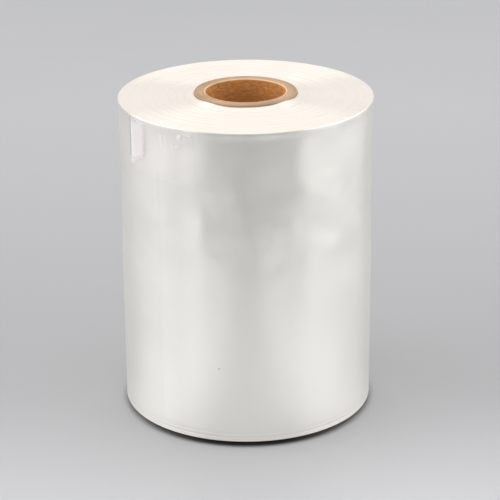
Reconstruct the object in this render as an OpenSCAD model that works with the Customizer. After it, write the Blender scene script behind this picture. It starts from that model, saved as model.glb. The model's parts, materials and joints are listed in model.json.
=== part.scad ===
// A roll of shrink film wound on a cardboard core.
// The roll stands on end: its axis is Z, and z = 0 is the lower end of the core.
// Seen from above, angles run anticlockwise from +X; the usual view is from -Y.

/* [Core] */
// Bore of the cardboard core, which slips over a three-inch spindle
core_bore_d = 76.2; // [60:0.1:90]
// Wall of the core, spiral-wound from paper plies
core_wall = 10.5; // [6:0.5:14]
// How far the core stands out of the film at each end
core_proud = 4; // [2:0.5:12]
// Rounding of the core's cut edges
core_edge_r = 1; // [0.4:0.1:2]

/* [Film] */
// Outer diameter of the wound film, at the free end of its last turn
film_od = 241.5; // [160:0.5:400]
// Width of the film, which is the length of the wound roll
film_width = 305; // [150:1:600]
// Slack between the core and the first turn of film
first_turn_slack = 0.1; // [0.05:0.05:0.5]
// Step down from the free end of the last turn to the turn below it
tail_step = 0.1; // [0.05:0.05:0.5]
// Where the free end lies, as an angle from +X
tail_angle = 228; // [0:1:359]
// Rounding of the film's outer rims
film_rim_r = 0.8; // [0.4:0.1:2]
// Grooves between the bands of turns on each end face
turn_groove_count = 14; // [4:1:24]
// Depth of those grooves
turn_groove_depth = 0.25; // [0.1:0.05:0.6]
// Width of those grooves
turn_groove_w = 0.7; // [0.4:0.1:1.2]
// How unevenly the grooves lie, as a part of their pitch
turn_groove_scatter = 0.3; // [0:0.05:0.4]

/* [Tail tape] */
// Width of the clear tape that holds the free end, along the axis
tape_w = 48; // [12:1:75]
// Length of that tape around the roll
tape_len = 80; // [30:1:120]
// Thickness of that tape
tape_t = 0.1; // [0.05:0.05:0.3]
// How far the tape stands off the film, over the glue and the air caught under it
tape_lift = 0.15; // [0.1:0.05:0.5]
// Distance from the film's upper face to the tape
tape_drop = 1; // [1:0.5:40]
// Part of the tape's length that lies beyond the free end
tape_past_tail = 0.5; // [0.2:0.05:0.8]

/* [Hidden] */
$fn = 180;

core_r = core_bore_d / 2 + core_wall;
core_len = film_width + 2 * core_proud;
film_r = film_od / 2;
film_bore_r = core_r + first_turn_slack;
film_z0 = core_proud;
film_z1 = core_proud + film_width;
groove_pitch = (film_r - film_bore_r) / (turn_groove_count + 1);
golden_angle = 137.5;
tape_arc = tape_len / film_r * 180 / PI;
tape_z0 = film_z1 - tape_drop - tape_w;
cut_over = 1;

card_brown = [0.80, 0.65, 0.52];
film_white = [0.90, 0.90, 0.88];
tape_clear = [0.93, 0.93, 0.94, 0.6];

// Radius of the middle of groove i, counted from 1 at the core
function groove_r(i) =
    film_bore_r + groove_pitch * (i + turn_groove_scatter * sin(golden_angle * i));

// What rounding takes off a square corner at the origin that points to +X and +Y
module corner_waste(r) {
    translate([-r, -r])
        difference() {
            square(r + cut_over);
            circle(r);
        }
}

// Section of the core's wall, in radius and height
module core_section() {
    difference() {
        translate([core_bore_d / 2, 0])
            square([core_wall, core_len]);
        for (side = [0, 1], end = [0, 1])
            translate([side ? core_r : core_bore_d / 2, end ? core_len : 0])
                mirror([side ? 0 : 1, 0])
                    mirror([0, end ? 0 : 1])
                        corner_waste(core_edge_r);
    }
}

// Half section of wound film out to radius r, filled in to the axis
module film_section(r) {
    difference() {
        translate([0, film_z0])
            square([r, film_width]);
        translate([r, film_z1])
            corner_waste(film_rim_r);
        translate([r, film_z0])
            mirror([0, 1])
                corner_waste(film_rim_r);
    }
}

// The outer surface is a spiral of two half turns about two centres, so it steps only at the free end
module film_body() {
    rotate([0, 0, tail_angle]) {
        translate([tail_step / 2, 0, 0])
            rotate_extrude(angle = 180)
                film_section(film_r - tail_step / 2);
        rotate([0, 0, 180])
            rotate_extrude(angle = 180)
                film_section(film_r - tail_step);
    }
}

// One groove between two bands of turns, cut downwards from z = 0
module turn_groove(r) {
    widen = turn_groove_w / 2 * (1 + cut_over / turn_groove_depth);
    rotate_extrude()
        polygon([[r - widen, cut_over], [r + widen, cut_over], [r, -turn_groove_depth]]);
}

module core() {
    color(card_brown)
        rotate_extrude()
            core_section();
}

module film_roll() {
    color(film_white)
        difference() {
            film_body();
            translate([0, 0, film_z0 - cut_over])
                cylinder(r = film_bore_r, h = film_width + 2 * cut_over);
            for (i = [1 : turn_groove_count]) {
                translate([0, 0, film_z1])
                    turn_groove(groove_r(i));
                translate([0, 0, film_z0])
                    mirror([0, 0, 1])
                        turn_groove(groove_r(i));
            }
        }
}

module tail_tape() {
    color(tape_clear)
        rotate([0, 0, tail_angle - tape_arc * tape_past_tail])
            rotate_extrude(angle = tape_arc)
                translate([film_r + tape_lift, tape_z0])
                    square([tape_t, tape_w]);
}

core();
film_roll();
tail_tape();
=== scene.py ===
import json
import math

import bpy
import numpy as np
from mathutils import Matrix, Vector, noise


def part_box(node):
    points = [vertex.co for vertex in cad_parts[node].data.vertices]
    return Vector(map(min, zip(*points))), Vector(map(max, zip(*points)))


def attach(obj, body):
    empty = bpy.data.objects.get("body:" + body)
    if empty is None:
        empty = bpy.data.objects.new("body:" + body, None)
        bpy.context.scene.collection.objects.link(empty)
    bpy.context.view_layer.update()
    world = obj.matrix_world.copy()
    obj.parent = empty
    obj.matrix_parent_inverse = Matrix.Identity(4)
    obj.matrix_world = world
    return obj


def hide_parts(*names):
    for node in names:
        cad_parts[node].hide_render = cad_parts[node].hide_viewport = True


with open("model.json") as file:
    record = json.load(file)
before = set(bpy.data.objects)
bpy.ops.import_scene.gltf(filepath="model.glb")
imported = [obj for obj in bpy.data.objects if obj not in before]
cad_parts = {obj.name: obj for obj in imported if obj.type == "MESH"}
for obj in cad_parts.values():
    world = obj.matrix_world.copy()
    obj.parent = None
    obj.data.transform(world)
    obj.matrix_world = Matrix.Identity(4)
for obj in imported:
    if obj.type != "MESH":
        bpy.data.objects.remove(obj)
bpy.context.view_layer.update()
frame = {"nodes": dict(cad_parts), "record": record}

bl_info = {
    "name": "Shrink Film Roll",
    "version": (1, 0, 0),
    "blender": (4, 5, 0),
    "location": "3D View > Sidebar > Film Roll",
    "description": "A roll of shrink film on a cardboard core, with the studio it stands in",
    "category": "Add Mesh",
}

MM = 0.001


# Sizes that the frame gives

def polar_points(node):
    """Radius and angle in radians from +X of every corner of a node's mesh."""
    points = np.array([vertex.co for vertex in frame["nodes"][node].data.vertices])
    return np.hypot(points[:, 0], points[:, 1]), np.arctan2(points[:, 1], points[:, 0])


def mount(name):
    """The record's mount of that name."""
    return next(entry for entry in frame["record"]["mounts"] if entry["name"] == name)


CORE_BORE_R = mount("core_bore")["dims"]["r_mm"] * MM
CORE_R = float(polar_points("core")[0].max())
CORE_LOW, CORE_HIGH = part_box("core")
FILM_RADII, _ = polar_points("film_roll")
FILM_BORE_R = float(FILM_RADII.min())
FILM_R = float(FILM_RADII.max())
FILM_LOW, FILM_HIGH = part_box("film_roll")
TAPE_RADII, TAPE_ANGLES = polar_points("tail_tape")
TAPE_R = float(TAPE_RADII.min())
TAPE_THICKNESS = float(TAPE_RADII.max() - TAPE_RADII.min())
TAPE_LOW, TAPE_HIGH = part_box("tail_tape")
TAPE_START = float(TAPE_ANGLES.min())
TAPE_END = float(TAPE_ANGLES.max())
TAIL_ANGLE = (TAPE_START + TAPE_END) / 2

# Marks that handling left. A place on the side is an azimuth in degrees from the front toward +X,
# and a height in mm. All other lengths in these lists are in mm too.
# A crease runs from one place to another, and then has its half-width and its height.
# A ring has its height above the film's lower face, its half-width and its depth.
# A bubble has its middle, its half-width and half-height, its lean in degrees and its height.
# The patch where the tape hangs free has its right edge, its lowest place at the left and its
# upper end.
# The speck has its place and its radius. The nick in the core's end has its azimuth, its radius
# from the axis, its width and its depth.
# A hump of the inner turns has its azimuth and its width in degrees, and its share of the rise.

FRONT = math.radians(-90)
GOLDEN_ANGLE = 137.5
FILM_CREASES = [
    ((60, 232), (65, 229), 1.6, -0.14),
    ((58, 240), (63, 244), 2.0, 0.10),
    ((62, 196), (69, 192), 1.6, -0.16),
    ((67, 191), (73, 188), 1.8, -0.16),
    ((61, 202), (64, 198), 2.4, 0.14),
    ((76, 97), (80, 92), 2.2, 0.14),
    ((-17, 238), (-15, 228), 3.0, -0.10),
    ((-14, 264), (-13, 258), 2.6, -0.10),
    ((-24, 294), (-10, 291), 2.0, -0.12),
]
FILM_RINGS = [(8.0, 0.8, 0.07), (4.1, 0.9, 0.21), (1.9, 0.9, 0.21)]
TAPE_CREASES = [
    ((-34.0, 293), (-30.5, 289.5), 0.9, 0.25),
    ((-57.5, 306), (-50.0, 303), 0.8, 0.25),
    ((-57.0, 303.5), (-52.0, 301), 0.7, 0.20),
]
TAPE_BUBBLES = [
    ((-29.8, 301.0), (3.6, 3.0), 20, 0.45),
    ((-30.3, 291.5), (2.6, 1.7), -25, 0.50),
    ((-33.2, 288.5), (1.4, 3.6), 10, 0.25),
    ((-25.5, 303.5), (6.0, 1.6), -6, 0.30),
    ((-37.0, 295.0), (1.0, 8.5), 2, 0.16),
    ((-39.5, 296.0), (0.9, 9.0), 0, 0.12),
]
TAPE_PATCH = (-50.6, 262, 303)
SPECK = (-12.9, 78.8, 0.55)
CORE_NICK = (50, 43.0, 1.8, 0.5)
INNER_HUMPS = [(-45, 16, 0.55), (48, 14, 0.55)]

# The turns' pale edges show up to this height above the film's lower face. The outer turns grow
# slack, and so wavy, between two heights. The side has its rows closest in the creased band. The
# tape's mesh has squares of about the grid's size, and its cut ends have teeth.

BURR_HEIGHT = 1.5 * MM
SLACK_FROM, SLACK_TO = 140, 190
CREASED_LOW, CREASED_HIGH = 184 * MM, 246 * MM
TAPE_GRID = 0.5 * MM
TOOTH_PITCH, TOOTH_DEPTH = 2 * MM, 0.4 * MM

# The studio's lamps: name, place, what it faces, width and height in metres, power in watts, and
# spread in degrees

WIDE, NARROW, TIGHT = 180, 60, 50
LAMPS = [
    ("panel_left", (-3.998, 0.14, 2.0), (0, 0, 0.3), (4.25, 3.4), 104, WIDE),
    ("panel_right", (3.961, 0.557, 2.0), (0, 0, 0.3), (5.0, 3.4), 51, WIDE),
    ("panel_top", (0, 0, 4.5), (0, 0, 0.3), (3.0, 6), 30, WIDE),
    ("strip_overhead", (0, 0.9, 1.2), (0, 0, 0.3), (1.0, 0.4), 2.2, WIDE),
    ("strip_left", (-1.04, -0.937, 0.46), (0, 0, 0.3), (0.45, 0.9), 1.7, WIDE),
    ("strip_right", (1.174, -0.763, 0.46), (0, 0, 0.3), (0.45, 0.9), 1.7, WIDE),
    ("low_right", (2.476, 0.348, 0.5), (0, 0, 0.2), (3.0, 0.9), 13.5, WIDE),
    ("floor_front", (0, -0.45, 0.7), (0, -0.45, 0), (0.9, 0.3), 0.65, NARROW),
    ("pool_left", (-0.4, -0.35, 0.6), (-0.4, -0.35, 0), (0.4, 0.4), 0.12, NARROW),
    ("pool_right", (0.4, -0.35, 0.6), (0.4, -0.35, 0), (0.4, 0.4), 0.12, NARROW),
    ("glow_left", (-0.17, -0.26, 0.45), (-0.12, -0.2, 0), (0.12, 0.12), 0.01, TIGHT),
    ("glow_right", (0.17, -0.26, 0.45), (0.12, -0.2, 0), (0.12, 0.12), 0.02, TIGHT),
]
WORLD_STRENGTH = 0.84
FLOOR_RADIUS = 12
CAMERA_PLACE = (0, -1.7338, 0.8312)
CAMERA_LENS = 137.7
CAMERA_PITCH, CAMERA_YAW, CAMERA_ROLL = 21.416, 0.0988, -0.408


# What a user would change

class FilmRollSizes(bpy.types.PropertyGroup):
    """Sizes of the roll's finer details; the main sizes come from the frame."""

    film_rim: bpy.props.FloatProperty(
        name="Film rim", description="Rounding of the film's outer rims",
        default=0.8 * MM, min=0.2 * MM, max=2 * MM, subtype="DISTANCE", unit="LENGTH", precision=5)
    tail_step: bpy.props.FloatProperty(
        name="Tail step", description="Step down from the film's free end to the turn below it",
        default=0.03 * MM, min=0.01 * MM, max=0.1 * MM, subtype="DISTANCE", unit="LENGTH", precision=5)
    groove_count: bpy.props.IntProperty(
        name="Grooves", description="Grooves between the bands of turns on each end face",
        default=14, min=4, max=24)
    groove_depth: bpy.props.FloatProperty(
        name="Groove depth", description="Depth of those grooves",
        default=0.12 * MM, min=0.05 * MM, max=0.6 * MM, subtype="DISTANCE", unit="LENGTH", precision=5)
    groove_width: bpy.props.FloatProperty(
        name="Groove width", description="Width of those grooves",
        default=0.7 * MM, min=0.3 * MM, max=1.2 * MM, subtype="DISTANCE", unit="LENGTH", precision=5)
    groove_scatter: bpy.props.FloatProperty(
        name="Groove scatter", description="How unevenly the grooves lie, as a part of their pitch",
        default=0.3, min=0.0, max=0.4, subtype="FACTOR")
    inner_rise: bpy.props.FloatProperty(
        name="Inner rise", description="How far the film's inner turns stand up round the core",
        default=2.4 * MM, min=0.0, max=3 * MM, subtype="DISTANCE", unit="LENGTH", precision=5)
    wave_height: bpy.props.FloatProperty(
        name="Waves", description="Height of the soft waves in the film's outer turns",
        default=1.5 * MM, min=0.0, max=2 * MM, subtype="DISTANCE", unit="LENGTH", precision=5)
    core_edge: bpy.props.FloatProperty(
        name="Core edge", description="Rounding of the core's cut edges",
        default=1 * MM, min=0.4 * MM, max=2 * MM, subtype="DISTANCE", unit="LENGTH", precision=5)
    core_plies: bpy.props.IntProperty(
        name="Core plies", description="Layers of paper in the core's wall",
        default=13, min=6, max=20)
    core_strip_pitch: bpy.props.FloatProperty(
        name="Core strip pitch", description="Rise of the core's paper strips in one turn",
        default=118 * MM, min=60 * MM, max=200 * MM, subtype="DISTANCE", unit="LENGTH", precision=4)
    tape_lift: bpy.props.FloatProperty(
        name="Tape lift", description="How far the tape's left end has come off the film",
        default=0.7 * MM, min=0.0, max=3 * MM, subtype="DISTANCE", unit="LENGTH", precision=5)


class FilmRollColours(bpy.types.PropertyGroup):
    """Colours of the roll and of the studio."""

    film: bpy.props.FloatVectorProperty(
        name="Film", description="Outer turns of the film, seen from the side",
        default=(0.825, 0.81, 0.768), min=0, max=1, subtype="COLOR")
    film_end: bpy.props.FloatVectorProperty(
        name="Film ends", description="Edges of the film's turns, seen on the end faces",
        default=(0.80, 0.73, 0.665), min=0, max=1, subtype="COLOR")
    card: bpy.props.FloatVectorProperty(
        name="Card", description="Faces of the core's paper strips",
        default=(0.60, 0.27, 0.08), min=0, max=1, subtype="COLOR")
    card_cut: bpy.props.FloatVectorProperty(
        name="Cut card", description="Cut edges of the core's paper plies",
        default=(0.50, 0.335, 0.215), min=0, max=1, subtype="COLOR")
    tape: bpy.props.FloatVectorProperty(
        name="Tape", description="Clear tape over the film's free end",
        default=(1.0, 0.95, 0.955), min=0, max=1, subtype="COLOR")
    studio: bpy.props.FloatVectorProperty(
        name="Studio", description="Floor of the studio",
        default=(0.374, 0.374, 0.384), min=0, max=1, subtype="COLOR")


# Shapes

def crease(azimuth, height, start, end, half_width, rise):
    """Height in metres of a crease on the roll's side, at places in degrees and mm."""
    scale = math.radians(1) * FILM_R / MM
    along = np.array([(end[0] - start[0]) * scale, end[1] - start[1]])
    across = np.stack([(azimuth - start[0]) * scale, height - start[1]], axis=-1)
    part = np.clip(across @ along / (along @ along), 0, 1)
    gap = np.linalg.norm(across - part[..., None] * along, axis=-1)
    return rise * MM * np.exp(-(gap / half_width) ** 2)


def bubble(azimuth, height, middle, half_sizes, lean, rise):
    """Height in metres of a soft bubble under the tape, at places in degrees and mm."""
    across, up = (azimuth - middle[0]) * math.radians(1) * FILM_R / MM, height - middle[1]
    turn = math.radians(lean)
    along = (across * math.cos(turn) + up * math.sin(turn)) / half_sizes[0]
    aside = (up * math.cos(turn) - across * math.sin(turn)) / half_sizes[1]
    return rise * MM * np.clip(1 - along ** 2 - aside ** 2, 0, 1) ** 1.5


def smooth_step(low, high, value):
    """0 below low, 1 above high, and a smooth rise between them."""
    part = np.clip((value - low) / (high - low), 0, 1)
    return part * part * (3 - 2 * part)


def noise_at(points, scale, offset):
    """Smooth noise between -1 and 1 at an array of points."""
    flat = points.reshape(-1, 3) * scale + offset
    return np.array([noise.noise(Vector(point)) for point in flat]).reshape(points.shape[:-1])


def azimuth_of(angles):
    """Degrees from the front toward +X, from -180 to 180, for angles from +X."""
    return (np.degrees(angles - FRONT) + 180) % 360 - 180


def quarter_round(radius, steps):
    """Points of a quarter circle from straight up to straight out, as (out, up) from its centre."""
    turn = np.linspace(0, math.pi / 2, steps + 1)
    return radius * np.sin(turn), radius * np.cos(turn)


def mesh_piece(name, points, quads, materials, slots=None):
    """A smooth-shaded object from corner points and quads."""
    mesh = bpy.data.meshes.new(name)
    mesh.from_pydata(points.reshape(-1, 3).tolist(), [], quads.reshape(-1, 4).tolist())
    mesh.shade_smooth()
    for material in materials:
        mesh.materials.append(material)
    if slots is not None:
        mesh.polygons.foreach_set("material_index", slots)
    mesh.update()
    piece = bpy.data.objects.new(name, mesh)
    bpy.context.scene.collection.objects.link(piece)
    return piece


def swept_rings(name, rings, angles, materials):
    """A closed solid swept round Z from rings of (radii, heights, material), the last to the first."""
    radii = np.array([np.broadcast_to(ring[0], angles.shape) for ring in rings])
    heights = np.array([np.broadcast_to(ring[1], angles.shape) for ring in rings])
    rows, columns = radii.shape
    points = np.stack([radii * np.cos(angles), radii * np.sin(angles), heights], axis=-1)
    row, column = np.meshgrid(np.arange(rows), np.arange(columns), indexing="ij")
    next_row, next_column = (row + 1) % rows, (column + 1) % columns
    quads = np.stack([row * columns + column, next_row * columns + column,
                      next_row * columns + next_column, row * columns + next_column], axis=-1)
    slots = np.repeat([ring[2] for ring in rings], columns)
    return mesh_piece(name, points, quads, materials, slots)


def sheet_solid(name, outer, inner, materials):
    """A closed thin solid between two grids of points of the same shape."""
    rows, columns = outer.shape[:2]
    index = np.arange(rows * columns).reshape(rows, columns)

    def squares(grid):
        corners = [grid[:-1, :-1], grid[:-1, 1:], grid[1:, 1:], grid[1:, :-1]]
        return np.stack(corners, axis=-1).reshape(-1, 4)

    edge = np.concatenate([index[0, :-1], index[:-1, -1], index[-1, :0:-1], index[:0:-1, 0]])
    after = np.roll(edge, -1)
    below = rows * columns
    rim = np.stack([edge, edge + below, after + below, after], axis=-1)
    quads = np.concatenate([squares(index), squares(index)[:, ::-1] + below, rim])
    points = np.concatenate([outer.reshape(-1, 3), inner.reshape(-1, 3)])
    return mesh_piece(name, points, quads, materials)


# Materials

def add_node(tree, kind, inputs=None, **settings):
    """A shader node with its settings, and with values or links in its inputs."""
    node = tree.nodes.new(kind)
    for name, value in settings.items():
        setattr(node, name, value)
    for name, value in (inputs or {}).items():
        if isinstance(value, bpy.types.NodeSocket):
            tree.links.new(value, node.inputs[name])
        else:
            node.inputs[name].default_value = value
    return node


def new_material(name, constants):
    """A material, its node tree and its Principled shader with the given constants on its sockets."""
    material = bpy.data.materials.new(name)
    material.use_nodes = True
    shader = material.node_tree.nodes["Principled BSDF"]
    for socket, value in constants.items():
        shader.inputs[socket].default_value = value
    return material, material.node_tree, shader


def effect_group(name, inputs, output):
    """An empty node group with the given inputs and one output, and its two end nodes."""
    group = bpy.data.node_groups.new(name, "ShaderNodeTree")
    for label, kind, default in inputs:
        socket = group.interface.new_socket(name=label, in_out="INPUT", socket_type=kind)
        socket.default_value = default
    group.interface.new_socket(name=output[0], in_out="OUTPUT", socket_type=output[1])
    return group, group.nodes.new("NodeGroupInput"), group.nodes.new("NodeGroupOutput")


def calculated(tree, operation, *values):
    """The result of a Math node on values or links."""
    return add_node(tree, "ShaderNodeMath", dict(enumerate(values)), operation=operation).outputs[0]


def measured(tree, operation, *vectors):
    """The length or the distance that a Vector Math node gives."""
    node = add_node(tree, "ShaderNodeVectorMath", dict(enumerate(vectors)), operation=operation)
    return node.outputs["Value"]


def object_place(tree):
    """The place on a piece, in its own frame, and its parts along X, Y and Z."""
    place = add_node(tree, "ShaderNodeTexCoord").outputs["Object"]
    return place, add_node(tree, "ShaderNodeSeparateXYZ", {0: place}).outputs


def axis_distance(tree, x, y):
    """The distance from the roll's axis."""
    return measured(tree, "LENGTH", add_node(tree, "ShaderNodeCombineXYZ", {0: x, 1: y}).outputs[0])


def fine_noise(tree, place, scale, detail):
    """Noise that is the same in all directions."""
    return add_node(tree, "ShaderNodeTexNoise", {
        "Vector": place, "Scale": scale, "Detail": detail}).outputs[0]


def shade(colour, factor):
    """A colour made darker or lighter."""
    return tuple(min(1, factor * channel) for channel in colour)


def drawn_lines_group():
    """Noise drawn out into lines: round the roll, up it, or in rings on its ends."""
    name = "drawn_lines"
    if name in bpy.data.node_groups:
        return bpy.data.node_groups[name]
    group, start, end = effect_group(name, [
        ("Around", "NodeSocketFloat", 8.0), ("Up", "NodeSocketFloat", 500.0),
        ("Out", "NodeSocketFloat", 0.0), ("Detail", "NodeSocketFloat", 2.0)],
        ("Line", "NodeSocketFloat"))
    place, (x, y, z) = object_place(group)
    radius = axis_distance(group, x, y)
    around, up, out, detail = (start.outputs[label] for label in ("Around", "Up", "Out", "Detail"))
    height = calculated(group, "ADD", calculated(group, "MULTIPLY", z, up),
                        calculated(group, "MULTIPLY", radius, out))
    drawn = add_node(group, "ShaderNodeCombineXYZ", {
        0: calculated(group, "MULTIPLY", x, around), 1: calculated(group, "MULTIPLY", y, around),
        2: height}).outputs[0]
    group.links.new(fine_noise(group, drawn, 1.0, detail), end.inputs["Line"])
    return group


def mottle_group():
    """A colour made a little lighter and darker in soft patches."""
    name = "mottle"
    if name in bpy.data.node_groups:
        return bpy.data.node_groups[name]
    group, start, end = effect_group(name, [
        ("Color", "NodeSocketColor", (0.8, 0.8, 0.8, 1)), ("Patch", "NodeSocketFloat", 30.0),
        ("Amount", "NodeSocketFloat", 0.03)], ("Color", "NodeSocketColor"))
    place, _ = object_place(group)
    patch = fine_noise(group, place, start.outputs["Patch"], 4.0)
    share = calculated(group, "MULTIPLY_ADD", calculated(group, "SUBTRACT", patch, 0.5),
                       start.outputs["Amount"], 1.0)
    lit = add_node(group, "ShaderNodeVectorMath", {
        0: start.outputs["Color"], "Scale": share}, operation="SCALE")
    group.links.new(lit.outputs[0], end.inputs["Color"])
    return group


def drawn_lines(tree, around, up=0.0, out=0.0, detail=2.0):
    """The line mask of a drawn_lines group in a material."""
    return add_node(tree, "ShaderNodeGroup", node_tree=drawn_lines_group(), inputs={
        "Around": around, "Up": up, "Out": out, "Detail": detail}).outputs["Line"]


def mottled(tree, colour, patch, amount):
    """The colour output of a mottle group in a material."""
    colour = colour if isinstance(colour, bpy.types.NodeSocket) else (*colour, 1)
    return add_node(tree, "ShaderNodeGroup", node_tree=mottle_group(), inputs={
        "Color": colour, "Patch": patch, "Amount": amount}).outputs["Color"]


def span(tree, value, low, high, out_low=0.0, out_high=1.0):
    """A value mapped from one range to another, and held inside it."""
    return add_node(tree, "ShaderNodeMapRange", {
        "Value": value, "From Min": low, "From Max": high,
        "To Min": out_low, "To Max": out_high}).outputs[0]


def noise_span(tree, noise_mask, out_low=0.0, out_high=1.0):
    """Noise, which mostly lies between 0.3 and 0.7, spread over another range."""
    return span(tree, noise_mask, 0.3, 0.7, out_low, out_high)


def bump(tree, height, distance, below=None):
    """A bump of that height in metres, laid over another one."""
    inputs = {"Height": height, "Distance": distance}
    if below is not None:
        inputs["Normal"] = below
    return add_node(tree, "ShaderNodeBump", inputs).outputs[0]


def mix_colour(tree, mask, low, high):
    """A blend of two colours by a mask."""
    inputs = {0: mask}
    for socket, colour in ((6, low), (7, high)):
        inputs[socket] = colour if isinstance(colour, bpy.types.NodeSocket) else (*colour, 1)
    return add_node(tree, "ShaderNodeMix", inputs, data_type="RGBA").outputs[2]


def connect(tree, shader, links):
    """Link values into a shader's sockets."""
    for socket, value in links.items():
        tree.links.new(value, shader.inputs[socket])


def place_on_side(azimuth, height, radius):
    """The point of the roll's side at an azimuth in degrees and a height in mm."""
    angle = math.radians(azimuth) + FRONT
    return Vector((radius * math.cos(angle), radius * math.sin(angle), height * MM))


def film_side_material(colours):
    """Satin, pearly side of many tight turns of clear film, in fine lines round the roll."""
    material, tree, shader = new_material(
        "wound_film_side", {"Metallic": 0.6, "Anisotropic": 0.6, "Anisotropic Rotation": 0.25})
    place, _ = object_place(tree)
    azimuth, height, radius = SPECK
    gap = measured(tree, "DISTANCE", place, place_on_side(azimuth, height, FILM_R))
    speck = span(tree, gap, radius * MM * 0.7, radius * MM * 1.3, 0.75, 0.0)
    film = mottled(tree, colours.film, 22.0, 0.05)
    lines = drawn_lines(tree, around=5.0, up=240.0, detail=0.0)
    bands = drawn_lines(tree, around=2.0, up=30.0)
    rumple = fine_noise(tree, place, 90.0, 1.0)
    connect(tree, shader, {
        "Base Color": mix_colour(tree, speck, film, (0.16, 0.15, 0.13)),
        "Roughness": noise_span(tree, bands, 0.29, 0.34),
        "Normal": bump(tree, rumple, 0.04 * MM, below=bump(tree, lines, 0.01 * MM))})
    return material


def film_end_material(colours):
    """Cut edges of the film's turns: creamy white, in fine rings with a sheen across them."""
    material, tree, shader = new_material(
        "film_turn_edges", {"Metallic": 0.4, "Anisotropic": 0.9, "Anisotropic Rotation": 0.25})
    rings = drawn_lines(tree, around=2.0, out=700.0, detail=1.0)
    bands = drawn_lines(tree, around=1.0, out=120.0, detail=1.0)
    ringed = mix_colour(tree, noise_span(tree, rings), shade(colours.film_end, 0.97), colours.film_end)
    connect(tree, shader, {
        "Base Color": mottled(tree, ringed, 18.0, 0.03),
        "Roughness": noise_span(tree, bands, 0.33, 0.42),
        "Normal": bump(tree, rings, 0.02 * MM)})
    return material


def card_strip_material(colours, pitch):
    """Brown paper strips of the core, with their seam, and painted shade that darkens them deep inside
    the bore, away from the ends.
    """
    material, tree, shader = new_material("card_strips", {"Specular IOR Level": 0.3})
    place, (x, y, z) = object_place(tree)
    turns = calculated(tree, "MULTIPLY", calculated(tree, "ARCTAN2", y, x), 1 / math.tau)
    rise = calculated(tree, "MULTIPLY", z, 1 / pitch)
    gap = calculated(tree, "PINGPONG", calculated(tree, "SUBTRACT", rise, turns), 1.0)
    seam = span(tree, gap, 0.0, 0.9 * MM / pitch, 1.0, 0.0)
    fibre = fine_noise(tree, place, 420.0, 6.0)
    strands = drawn_lines(tree, around=240.0, up=520.0, detail=3.0)
    dark, pale = shade(colours.card, 0.66), shade(colours.card, 1.15)
    paper = mix_colour(tree, noise_span(tree, strands), dark, pale)
    # Painted shade: the strips are painted darker deep inside the bore and keep their own colour near
    # each end.
    middle = (CORE_LOW.z + CORE_HIGH.z) / 2
    from_middle = calculated(tree, "ABSOLUTE", calculated(tree, "SUBTRACT", z, middle))
    painted_shade_fade = span(tree, from_middle, middle - 30 * MM, middle - 8 * MM)
    paper = mix_colour(tree, painted_shade_fade, mix_colour(tree, 0.4, paper, dark), paper)
    paper = mottled(tree, paper, 40.0, 0.5)
    connect(tree, shader, {
        "Base Color": mix_colour(tree, seam, paper, shade(colours.card, 0.35)),
        "Roughness": noise_span(tree, fibre, 0.7, 0.9),
        "Normal": bump(tree, seam, -0.3 * MM, below=bump(tree, fibre, 0.12 * MM))})
    return material


def card_cut_material(colours, plies):
    """Cut ends of the core: torn fibres in a ring for each ply, worn outside, pale at the bore."""
    material, tree, shader = new_material("card_cut_plies", {"Specular IOR Level": 0.3})
    place, (x, y, _) = object_place(tree)
    radius = axis_distance(tree, x, y)
    ply = span(tree, radius, CORE_BORE_R, CORE_R, 0.0, float(plies))
    glue = span(tree, calculated(tree, "PINGPONG", ply, 0.5), 0.0, 0.16, 1.0, 0.0)
    fibre = fine_noise(tree, place, 900.0, 5.0)
    bands = drawn_lines(tree, around=20.0, out=420.0, detail=3.0)
    dark, pale = shade(colours.card_cut, 0.78), shade(colours.card_cut, 1.12)
    paper = mix_colour(tree, span(tree, bands, 0.32, 0.68), dark, pale)
    paper = mix_colour(tree, glue, paper, shade(colours.card_cut, 0.62))
    worn = span(tree, radius, CORE_R - 4.5 * MM, CORE_R - 1 * MM)
    paper = mix_colour(tree, worn, paper, mix_colour(tree, 0.6, paper, shade(colours.card_cut, 0.72)))
    burr = span(tree, radius, CORE_BORE_R + 0.8 * MM, CORE_BORE_R + 1.6 * MM, 1.0, 0.0)
    paper = mix_colour(tree, burr, paper, shade(colours.card_cut, 1.47))
    connect(tree, shader, {
        "Base Color": mottled(tree, paper, 60.0, 0.6),
        "Roughness": noise_span(tree, fibre, 0.75, 0.95),
        "Normal": bump(tree, fibre, 0.15 * MM)})
    return material


def clear_tape_material(colours):
    """Glossy clear tape: hardly seen where it sticks flat, and silvery where air is under it."""
    material, tree, shader = new_material("clear_tape", {"Metallic": 0.1})
    lift, painted_edge_shadow = (add_node(tree, "ShaderNodeAttribute", attribute_name=name).outputs["Fac"]
                  for name in ("lift", "painted_edge_shadow"))
    lines = drawn_lines(tree, around=40.0, up=90.0)
    clean = mottled(tree, colours.tape, 60.0, 0.04)
    # Painted shadow: a dark line is painted along the tape's lifted left edge, where shade falls under
    # it.
    connect(tree, shader, {
        "Base Color": mix_colour(tree, painted_edge_shadow, clean, (0.38, 0.36, 0.34)),
        "Alpha": span(tree, lift, 0.0, 1.0, 0.03, 0.8),
        "Roughness": noise_span(tree, lines, 0.14, 0.24),
        "Normal": bump(tree, lines, 0.03 * MM)})
    return material


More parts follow.
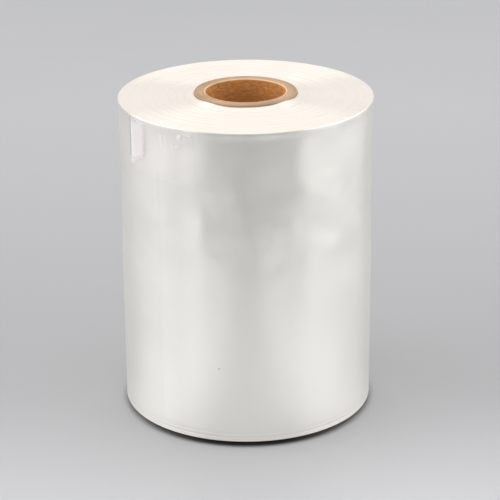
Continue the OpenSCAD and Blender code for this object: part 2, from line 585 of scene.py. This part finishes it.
def floor_material(colours):
    """Smooth pale studio floor with a faint gloss, and a painted shadow in the gap under the roll's
    front.

    What mirrors see of it is painted light: brighter close beside the roll, and fading away in front
    and behind.
    """
    material, tree, shader = new_material("studio_floor", {})
    studio = colours.studio
    place, (x, forward, _) = object_place(tree)

    # Painted light: glossy rays see the floor painted brighter close beside the roll, darker behind it
    # and nearly black far in front.
    sideways = calculated(tree, "ABSOLUTE", x)
    beside = calculated(tree, "MULTIPLY", span(tree, sideways, 0.06, 0.13),
                        span(tree, sideways, 0.18, 0.36, 1.0, 0.0))
    painted_reflection = mix_colour(tree, beside, studio, shade(studio, 1.5))
    painted_reflection = mix_colour(tree, span(tree, forward, -0.1, 0.04), painted_reflection, shade(studio, 0.8))
    painted_reflection = mix_colour(tree, span(tree, forward, -0.85, -0.42), shade(studio, 0.03), painted_reflection)

    # Painted light: behind the roll the floor is painted a little darker close to it and a little
    # brighter far back.
    behind = mix_colour(tree, span(tree, forward, 0.25, 0.95), shade(studio, 0.94), shade(studio, 1.08))
    open_floor = mix_colour(tree, span(tree, forward, -0.12, 0.1), studio, behind)
    in_mirror = add_node(tree, "ShaderNodeLightPath").outputs["Is Glossy Ray"]
    seen = mottled(tree, mix_colour(tree, in_mirror, open_floor, painted_reflection), 0.8, 0.04)

    # Painted shadow: a dark ring is painted on the floor just round the roll's foot, strongest under
    # its front, in place of the shade in the gap under the film.
    ring = span(tree, measured(tree, "LENGTH", place), FILM_R - 1 * MM, FILM_R + 5 * MM, 1.0, 0.0)
    under = calculated(tree, "MULTIPLY", ring, span(tree, forward, -0.112, -0.06, 1.0, 0.3))
    connect(tree, shader, {
        "Base Color": mix_colour(tree, under, seen, shade(studio, 0.15)),
        "Roughness": noise_span(tree, fine_noise(tree, place, 3.0, 3.0), 0.42, 0.5)})
    return material


# Operators, one for each piece

class FILMROLL_OT_film(bpy.types.Operator):
    """Wind the film, with its free end, its rims, its grooved end faces and its wavy outer turns"""

    bl_idname = "film_roll.film"
    bl_label = "Wound Film"

    def outer_radius(self, angles, sizes):
        """Radius of the outermost turn, which ends in a step at the tail."""
        from_tail = angles - TAIL_ANGLE
        half_step = sizes.tail_step / 2
        near = half_step * np.cos(from_tail) + np.sqrt(
            (FILM_R - half_step) ** 2 - (half_step * np.sin(from_tail)) ** 2)
        return np.where(from_tail < math.pi, near, FILM_R - sizes.tail_step)

    def crown(self, radius, angles, sizes):
        """How far the inner turns stand up round the core, more at some places than at others."""
        azimuth = azimuth_of(angles)
        height = sizes.inner_rise * (0.8 + 0.1 * np.cos(np.radians(3 * azimuth - 40)))
        for place, width, share in INNER_HUMPS:
            height = height + sizes.inner_rise * share * np.exp(-((azimuth - place) / width) ** 2)
        return height * math.exp(-((radius - FILM_BORE_R) / (5 * MM)) ** 2)

    def face_profile(self, sizes):
        """Radii and rises of an end face, from the core outward, with its grooves."""
        band = FILM_R - FILM_BORE_R
        pitch = band / (sizes.groove_count + 1)
        across = np.array([-1.0, -0.5, 0.0, 0.5, 1.0])
        radii, rises = [FILM_BORE_R, FILM_BORE_R + 1 * MM, FILM_BORE_R + 2 * MM], [0.0, 0.0, 0.0]
        for number in range(1, sizes.groove_count + 1):
            scatter = sizes.groove_scatter * math.sin(math.radians(GOLDEN_ANGLE * number))
            middle = FILM_BORE_R + pitch * (number + scatter)
            radii += list(middle + across * sizes.groove_width / 2)
            rises += list(-sizes.groove_depth * (1 + np.cos(across * math.pi)) / 2)
        return np.array(radii), np.array(rises)

    def waves(self, heights, angles, sizes):
        """How far the outermost turn lies inside its full radius, at a grid of places."""
        azimuth = azimuth_of(angles)[None, :] + 0 * heights[:, None]
        height = heights[:, None] / MM + 0 * azimuth
        points = np.stack([FILM_R * np.cos(angles) + 0 * height,
                           FILM_R * np.sin(angles) + 0 * height, height * MM], axis=-1)
        soft = (2.0 * noise_at(points, 24.0, (3.1, 7.7, 1.9))
                + 0.3 * noise_at(points, 62.0, (9.4, 2.2, 5.3)))
        slack = 0.12 + 0.88 * smooth_step(SLACK_FROM, SLACK_TO, height)
        slack *= smooth_step(0, 14, height - FILM_LOW.z / MM)
        slack *= smooth_step(0, 9, FILM_HIGH.z / MM - height)
        rise = sizes.wave_height * slack * np.clip((soft - 1.0) / 2, -1, 0)
        for start, end, half_width, depth in FILM_CREASES:
            rise = rise + crease(azimuth, height, start, end, half_width, depth)
        for middle, half_width, depth in FILM_RINGS:
            gap = np.clip(np.abs(height - FILM_LOW.z / MM - middle) / half_width, 0, 1)
            rise = rise - depth * MM * (1 + np.cos(gap * math.pi)) / 2
        return np.minimum(rise, 0.0)

    def execute(self, context):
        sizes, colours = context.scene.film_roll_sizes, context.scene.film_roll_colours
        angles = TAIL_ANGLE + np.radians(np.concatenate([[0.05], np.arange(1, 361)]))
        outer = self.outer_radius(angles, sizes)
        face_radii, face_rises = self.face_profile(sizes)
        rim_out, rim_up = quarter_round(sizes.film_rim, 4)
        top, low = FILM_HIGH.z - sizes.film_rim, FILM_LOW.z + sizes.film_rim
        ring_rows = [FILM_LOW.z / MM + middle + across * half_width
                     for middle, half_width, depth in FILM_RINGS for across in (1, 0.5, 0, -0.5, -1)]
        side = np.concatenate([np.arange(top, CREASED_HIGH, -3 * MM)[1:],
                               np.arange(CREASED_HIGH, CREASED_LOW, -1.5 * MM),
                               np.arange(CREASED_LOW, (ring_rows[0] + 1) * MM, -4.5 * MM),
                               np.array(ring_rows) * MM])
        waves = self.waves(side, angles, sizes)
        SIDE, END = 0, 1
        rings = [(radius, FILM_HIGH.z + rise + self.crown(radius, angles, sizes), END)
                 for radius, rise in zip(face_radii, face_rises)]
        rings += [(outer - sizes.film_rim + out, top + up, SIDE if step > 1 else END)
                  for step, (out, up) in enumerate(zip(rim_out, rim_up))]
        rings += [(outer + wave, height, SIDE if height > FILM_LOW.z + BURR_HEIGHT else END)
                  for height, wave in zip(side, waves)]
        rings += [(outer - sizes.film_rim + out, low - up, END)
                  for out, up in zip(rim_out[:0:-1], rim_up[:0:-1])]
        rings += [(outer - sizes.film_rim, FILM_LOW.z, END)]
        rings += [(radius, FILM_LOW.z - rise, END)
                  for radius, rise in zip(face_radii[::-1], face_rises[::-1])]
        piece = swept_rings("wound_film", rings, angles,
                            [film_side_material(colours), film_end_material(colours)])
        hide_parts("film_roll")
        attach(piece, "root")
        return {"FINISHED"}


class FILMROLL_OT_core(bpy.types.Operator):
    """Wind the cardboard core that the film sits on"""

    bl_idname = "film_roll.core"
    bl_label = "Cardboard Core"

    def execute(self, context):
        sizes, colours = context.scene.film_roll_sizes, context.scene.film_roll_colours
        angles = np.radians(np.arange(0, 360, 1.5))
        azimuth = azimuth_of(angles)
        edge = sizes.core_edge
        lip_out, lip_up = quarter_round(edge, 5)
        ply = (CORE_R - CORE_BORE_R) / sizes.core_plies
        wander = np.array([noise.noise(Vector((2 * math.cos(angle), 2 * math.sin(angle), 0)))
                           for angle in angles])

        face = []
        for number in range(1, sizes.core_plies):
            joint = CORE_BORE_R + number * ply
            step = 0.05 * MM * math.sin(math.radians(GOLDEN_ANGLE * number))
            for offset, rise in ((-0.22, step), (0.0, -0.16 * MM), (0.22, step)):
                radius = joint + offset * ply + 0.12 * ply * wander
                if CORE_BORE_R + edge < radius.min() and radius.max() < CORE_R - edge:
                    face.append((radius, rise - 0.05 * MM))

        nick_azimuth, nick_radius, nick_width, nick_depth = CORE_NICK

        def nicked(radius):
            aside = np.radians(azimuth - nick_azimuth) * nick_radius
            gap = np.hypot(aside, radius / MM - nick_radius)
            return -nick_depth * MM * np.exp(-(gap / nick_width) ** 2)

        bore = np.arange(CORE_LOW.z + edge, CORE_HIGH.z - edge, 2.5 * MM)[1:]
        turns = bore[:, None] / sizes.core_strip_pitch - angles[None, :] / math.tau
        from_seam = np.abs(turns - np.round(turns)) * sizes.core_strip_pitch
        dip = 0.25 * MM * np.exp(-(from_seam / (4 * MM)) ** 2)
        STRIP, CUT = 0, 1
        rings = [(CORE_BORE_R + edge - out, CORE_HIGH.z - edge + up, CUT)
                 for out, up in zip(lip_out[::-1], lip_up[::-1])]
        rings += [(radius, CORE_HIGH.z + rise + nicked(radius), CUT) for radius, rise in face]
        rings += [(CORE_R - edge + out, CORE_HIGH.z - edge + up, CUT)
                  for out, up in zip(lip_out, lip_up)]
        rings += [(CORE_R, FILM_HIGH.z, STRIP), (CORE_R, FILM_LOW.z, STRIP)]
        rings += [(CORE_R - edge + out, CORE_LOW.z + edge - up, CUT)
                  for out, up in zip(lip_out[::-1], lip_up[::-1])]
        rings += [(radius, CORE_LOW.z - rise, CUT) for radius, rise in face[::-1]]
        rings += [(CORE_BORE_R + edge - out, CORE_LOW.z + edge - up, CUT)
                  for out, up in zip(lip_out, lip_up)]
        rings[-1] = (*rings[-1][:2], STRIP)
        rings += [(CORE_BORE_R + depth, height, STRIP) for height, depth in zip(bore, dip)]
        piece = swept_rings("cardboard_core", rings, angles, [
            card_strip_material(colours, sizes.core_strip_pitch),
            card_cut_material(colours, sizes.core_plies)])
        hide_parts("core")
        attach(piece, "root")
        return {"FINISHED"}


class FILMROLL_OT_tape(bpy.types.Operator):
    """Lay the clear tape over the film's free end, with its bubbles and its lifted end"""

    bl_idname = "film_roll.tape"
    bl_label = "Tail Tape"

    def rise(self, azimuth, height, sizes):
        """How far the tape stands off the film at a grid of places, its air there, and a painted shadow
        along its lifted left edge.
        """
        left = azimuth.min(axis=1, keepdims=True)
        edge, low, high = TAPE_PATCH
        middle = (left + edge) / 2
        chord = 0.35 * (TAPE_R / np.cos(np.radians(azimuth - middle)) - TAPE_R)
        start = low + 0.9 * (azimuth - left)
        aired = smooth_step(edge + 2.0, edge - 2.0, azimuth) * smooth_step(start - 2, start + 7, height)
        aired = aired * smooth_step(high + 5, high - 3, height)
        free = smooth_step(low, low + 10, height)
        rise = chord * aired + sizes.tape_lift * np.exp(-(azimuth - left) / 0.5) * free
        for start, end, half_width, peak in TAPE_CREASES:
            rise = rise + crease(azimuth, height, start, end, half_width, peak)
        for place, half_sizes, lean, peak in TAPE_BUBBLES:
            rise = rise + bubble(azimuth, height, place, half_sizes, lean, peak)
        lift = np.clip(np.maximum(rise / (0.8 * MM), 0.55 * aired), 0, 1)
        # The last value marks the painted shadow line along the lifted left edge.
        return rise, lift, free * np.exp(-((azimuth - left) / 0.4) ** 2)

    def execute(self, context):
        sizes, colours = context.scene.film_roll_sizes, context.scene.film_roll_colours
        columns = round((TAPE_END - TAPE_START) * TAPE_R / TAPE_GRID)
        rows = round((TAPE_HIGH.z - TAPE_LOW.z) / TAPE_GRID)
        across, up = np.meshgrid(np.linspace(0, 1, columns + 1), np.linspace(0, 1, rows + 1))
        heights = TAPE_LOW.z + up * (TAPE_HIGH.z - TAPE_LOW.z)
        tooth = TOOTH_DEPTH * np.abs(2 * ((heights / TOOTH_PITCH) % 1) - 1) / TAPE_R
        angles = TAPE_START + tooth + across * (TAPE_END - TAPE_START - 2 * tooth)
        rise, lift, painted_edge_shadow = self.rise(azimuth_of(angles), heights / MM, sizes)

        def surface(radius):
            return np.stack([radius * np.cos(angles), radius * np.sin(angles), heights], axis=-1)

        piece = sheet_solid("tail_tape_strip", surface(TAPE_R + TAPE_THICKNESS + rise),
                            surface(TAPE_R + rise), [clear_tape_material(colours)])
        for name, values in (("lift", lift), ("painted_edge_shadow", painted_edge_shadow)):
            attribute = piece.data.attributes.new(name, "FLOAT", "POINT")
            attribute.data.foreach_set("value", np.tile(values.reshape(-1), 2))
        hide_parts("tail_tape")
        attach(piece, "root")
        return {"FINISHED"}


class FILMROLL_OT_studio(bpy.types.Operator):
    """Set up the floor, the lamps, the world and the camera"""

    bl_idname = "film_roll.studio"
    bl_label = "Studio"

    def execute(self, context):
        scene = context.scene
        scene.view_settings.view_transform = "Standard"

        turn = np.linspace(0, math.tau, 96, endpoint=False)
        rim = FLOOR_RADIUS * np.stack([np.cos(turn), np.sin(turn), 0 * turn], axis=-1)
        mesh = bpy.data.meshes.new("studio_floor")
        mesh.from_pydata(rim.tolist(), [], [list(range(len(rim)))])
        mesh.materials.append(floor_material(scene.film_roll_colours))
        floor = bpy.data.objects.new("studio_floor", mesh)
        scene.collection.objects.link(floor)

        world = bpy.data.worlds.new("studio_world")
        world.use_nodes = True
        background = world.node_tree.nodes["Background"]
        background.inputs["Color"].default_value = (1, 1, 1, 1)
        background.inputs["Strength"].default_value = WORLD_STRENGTH
        scene.world = world

        for name, place, aim, (width, height), power, spread in LAMPS:
            lamp = bpy.data.lights.new(name, "AREA")
            lamp.shape = "RECTANGLE"
            lamp.size, lamp.size_y = width, height
            lamp.energy = power
            lamp.spread = math.radians(spread)
            piece = bpy.data.objects.new(name, lamp)
            piece.visible_camera = False
            piece.location = place
            piece.rotation_mode = "QUATERNION"
            piece.rotation_quaternion = (Vector(aim) - Vector(place)).to_track_quat("-Z", "Y")
            scene.collection.objects.link(piece)

        lens = bpy.data.cameras.new("camera")
        lens.sensor_fit = "HORIZONTAL"
        lens.sensor_width = 36
        lens.lens = CAMERA_LENS
        camera = bpy.data.objects.new("camera", lens)
        scene.collection.objects.link(camera)
        pitch, yaw, roll = map(math.radians, (CAMERA_PITCH, CAMERA_YAW, CAMERA_ROLL))
        camera.matrix_world = (Matrix.Translation(CAMERA_PLACE)
                               @ Matrix.Rotation(-yaw, 4, "Z")
                               @ Matrix.Rotation(math.pi / 2 - pitch, 4, "X")
                               @ Matrix.Rotation(roll, 4, "Z"))
        scene.camera = camera
        return {"FINISHED"}


class VIEW3D_PT_film_roll(bpy.types.Panel):
    """Lists the roll's sizes, colours and pieces"""

    bl_label = "Film Roll"
    bl_space_type = "VIEW_3D"
    bl_region_type = "UI"
    bl_category = "Film Roll"

    def draw(self, context):
        layout = self.layout
        for group in (context.scene.film_roll_sizes, context.scene.film_roll_colours):
            for name in group.__annotations__:
                layout.prop(group, name)
        for operator in STEPS:
            layout.operator(operator.bl_idname)


STEPS = [FILMROLL_OT_studio, FILMROLL_OT_film, FILMROLL_OT_core, FILMROLL_OT_tape]
CLASSES = [FilmRollSizes, FilmRollColours, *STEPS, VIEW3D_PT_film_roll]


def register():
    for cls in CLASSES:
        bpy.utils.register_class(cls)
    bpy.types.Scene.film_roll_sizes = bpy.props.PointerProperty(type=FilmRollSizes)
    bpy.types.Scene.film_roll_colours = bpy.props.PointerProperty(type=FilmRollColours)


def unregister():
    del bpy.types.Scene.film_roll_colours
    del bpy.types.Scene.film_roll_sizes
    for cls in reversed(CLASSES):
        bpy.utils.unregister_class(cls)


def main():
    register()
    for operator in STEPS:
        group, name = operator.bl_idname.split(".")
        getattr(getattr(bpy.ops, group), name)()


if __name__ == "__main__":
    main()
